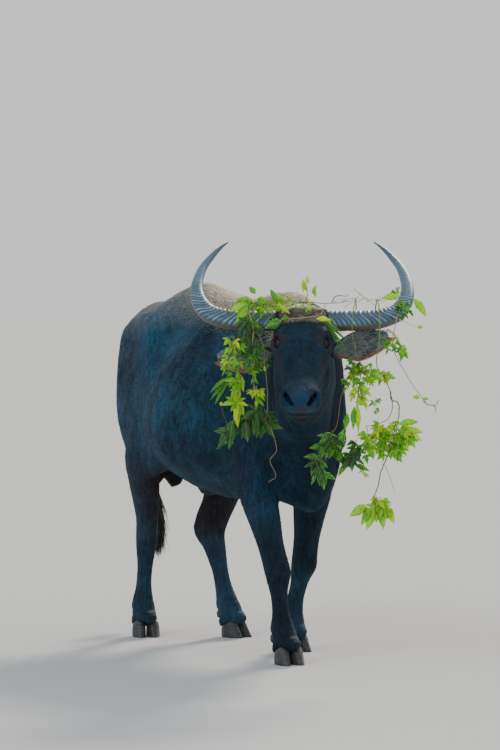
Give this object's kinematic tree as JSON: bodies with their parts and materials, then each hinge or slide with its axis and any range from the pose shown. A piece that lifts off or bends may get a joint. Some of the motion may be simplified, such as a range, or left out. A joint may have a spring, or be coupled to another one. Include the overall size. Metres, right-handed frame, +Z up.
{
  "type": "water buffalo figure",
  "caption": "Life-size still figure of a swamp buffalo bull in mid step, with crescent horns hung with leafy vine; a display model.",
  "frame": {"origin": "on the ground, in the middle of the box round the whole animal", "axes": "-Y is the way the animal walks, +X is its left side, +Z is up"},
  "size_m": [0.9186, 2.2516, 1.5906],
  "materials": {
    "hide": "dark slate-grey hide with sparse short hair",
    "horn": "grey ridged horn",
    "hoof": "worn dark hoof",
    "eye": "wet dark eye",
    "hair": "coarse dark hair",
    "leaf": "fresh green leaf"
  },
  "bodies": {
    "root": {"head": "hide", "neck": "hide", "torso": "hide", "leg_fore_right": "hide", "leg_fore_left": "hide", "leg_hind_right": "hide", "leg_hind_left": "hide", "ear_right": "hide", "ear_left": "hide", "tail": "hide", "horn_right": "horn", "horn_left": "horn", "eye_right": "eye", "eye_left": "eye", "tail_switch": "hair", "vine_crown": "leaf", "vine_right": "leaf", "vine_left_inner": "leaf", "vine_left_outer": "leaf", "claw_fore_right_inner": "hoof", "dewclaw_fore_right_inner": "hoof", "claw_fore_right_outer": "hoof", "dewclaw_fore_right_outer": "hoof", "claw_fore_left_inner": "hoof", "dewclaw_fore_left_inner": "hoof", "claw_fore_left_outer": "hoof", "dewclaw_fore_left_outer": "hoof", "claw_hind_right_inner": "hoof", "dewclaw_hind_right_inner": "hoof", "claw_hind_right_outer": "hoof", "dewclaw_hind_right_outer": "hoof", "claw_hind_left_inner": "hoof", "dewclaw_hind_left_inner": "hoof", "claw_hind_left_outer": "hoof", "dewclaw_hind_left_outer": "hoof"}
  },
  "joints": []
}
